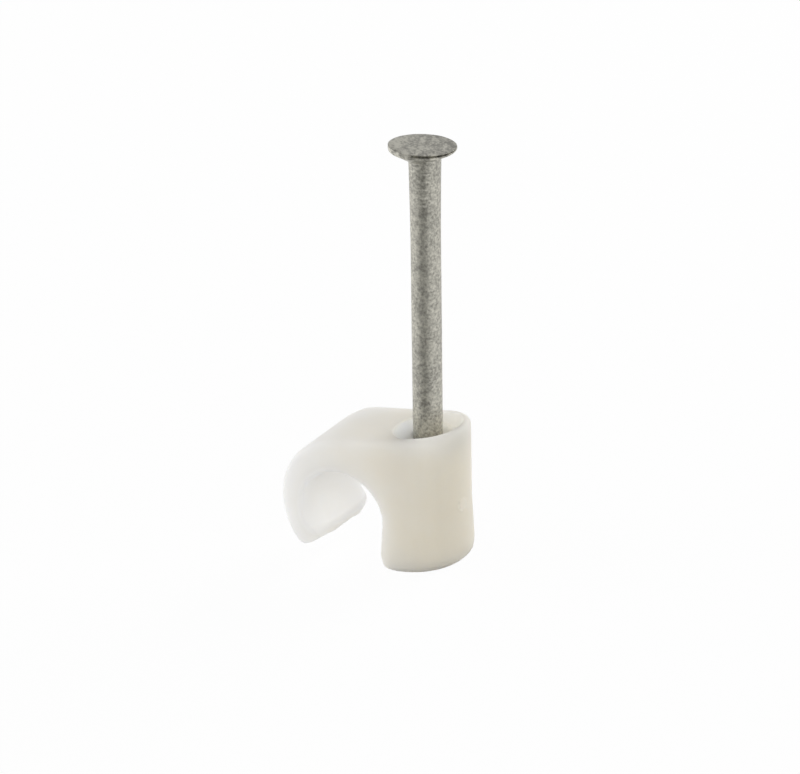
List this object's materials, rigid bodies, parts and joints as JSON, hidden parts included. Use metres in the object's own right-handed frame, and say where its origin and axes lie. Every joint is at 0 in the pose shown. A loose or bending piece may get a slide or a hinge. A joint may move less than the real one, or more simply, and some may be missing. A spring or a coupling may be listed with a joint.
{
  "type": "nail-in cable clip",
  "caption": "Moulded hook-shaped clip that holds a round cable against a wall, with a leaning nail boss beside the hook and a flat-headed steel nail set part of the way into it.",
  "frame": {"origin": "where the nail's axis meets the wall, in the plane of the wall face", "axes": "+Z points away from the wall, +Y runs along the cable, and the cable lies on the -X side of the nail"},
  "size_m": [0.0165, 0.0064, 0.0297],
  "materials": {
    "clip_plastic": "natural milky white moulding, slightly translucent, satin",
    "nail_steel": "dull grey galvanised steel, finely mottled"
  },
  "bodies": {
    "root": {"clip_body": "clip_plastic", "nail": "nail_steel"}
  },
  "joints": []
}
